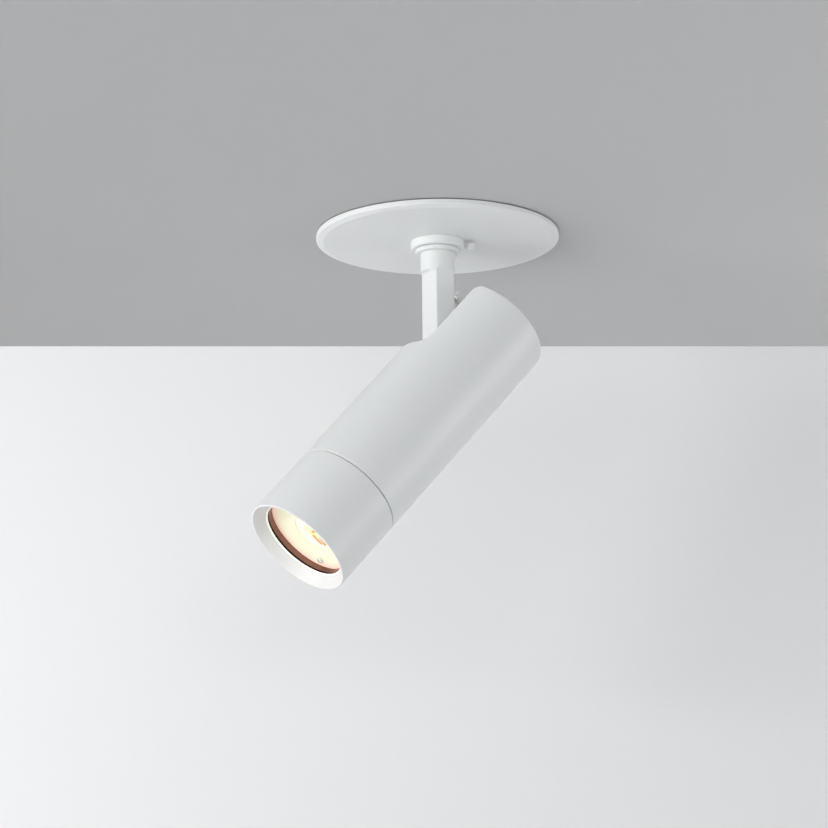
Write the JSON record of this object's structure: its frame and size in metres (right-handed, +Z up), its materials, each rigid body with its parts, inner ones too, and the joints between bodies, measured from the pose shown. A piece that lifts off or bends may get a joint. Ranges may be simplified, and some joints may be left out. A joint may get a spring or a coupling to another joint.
{
  "type": "adjustable ceiling spotlight",
  "caption": "White ceiling spotlight: a cylindrical head with a flared copper-ringed mouth, tilting on a pin in a rounded notch under a turning stem and round ceiling plate.",
  "frame": {"origin": "centre of the round ceiling plate, in the plane of the ceiling, where the gasket's top face touches it", "axes": "+Z up into the ceiling along the stem's turning axis; the head points down and towards -X in the stored pose; +Y is along the tilt pin, towards the open side of the head's notch"},
  "size_m": [0.1438, 0.11, 0.2098],
  "materials": {
    "white_paint": "satin",
    "zinc_steel": "satin",
    "spring_steel": "satin",
    "bright_steel": "polished",
    "bare_aluminium": "satin",
    "seal_rubber": "matte",
    "gasket_foam": "matte",
    "bearing_plastic": "matte",
    "terminal_plastic": "satin",
    "contact_brass": "satin",
    "board_white": "satin",
    "light_dish": "gloss",
    "chip_phosphor": "matte",
    "copper_finish": "satin"
  },
  "bodies": {
    "ceiling_unit": {"ceiling_plate": "white_paint", "plate_studs": "zinc_steel", "stud_nuts": "zinc_steel", "gasket_ring": "gasket_foam", "mounting_can": "zinc_steel", "can_lid": "zinc_steel", "cable_grommet": "seal_rubber", "terminal_block": "terminal_plastic", "terminal_screws": "contact_brass", "retaining_blades": "spring_steel", "blade_rivets": "zinc_steel", "pan_stop_pin": "zinc_steel", "collar": "white_paint", "swivel_bush": "bearing_plastic"},
    "lever": {"lock_lever": "white_paint"},
    "stem": {"stem": "white_paint", "swivel_ring": "white_paint", "pan_stop_washer": "zinc_steel", "wave_washer": "spring_steel", "stem_nut": "zinc_steel"},
    "head": {"head_housing": "white_paint", "rear_cap": "white_paint", "cap_screws": "zinc_steel", "pivot_pin": "bright_steel", "friction_washers": "bearing_plastic", "stop_sleeve": "spring_steel", "stop_disc": "bright_steel", "stop_screw": "bright_steel", "wire_grommet": "seal_rubber", "heat_sink": "bare_aluminium", "sink_spacers": "bare_aluminium", "tie_screws": "zinc_steel", "led_board": "board_white", "led_chip": "chip_phosphor", "contact_strips": "contact_brass", "reflector_dish": "light_dish", "dish_screws": "zinc_steel", "copper_ring": "copper_finish", "barrel_o_ring": "seal_rubber"},
    "barrel": {"front_barrel": "white_paint"}
  },
  "joints": [
    {"name": "pan", "type": "hinge", "parent": "ceiling_unit", "child": "stem", "pos_m": [0, 0, 0], "axis": [0, 0, 1], "range_deg": [-160, 160]},
    {"name": "tilt", "type": "hinge", "parent": "stem", "child": "head", "pos_m": [0, 0, -0.056], "axis": [0, 1, 0], "range_deg": [-1.5, 48]},
    {"name": "lever_lock", "type": "hinge", "parent": "ceiling_unit", "child": "lever", "pos_m": [0, 0, 0], "axis": [0, 0, 1], "range_deg": [0, 25]},
    {"name": "barrel_slide", "type": "slide", "parent": "head", "child": "barrel", "axis": [-0.6691, 0, -0.7431], "range_m": [0, 0.012]}
  ]
}
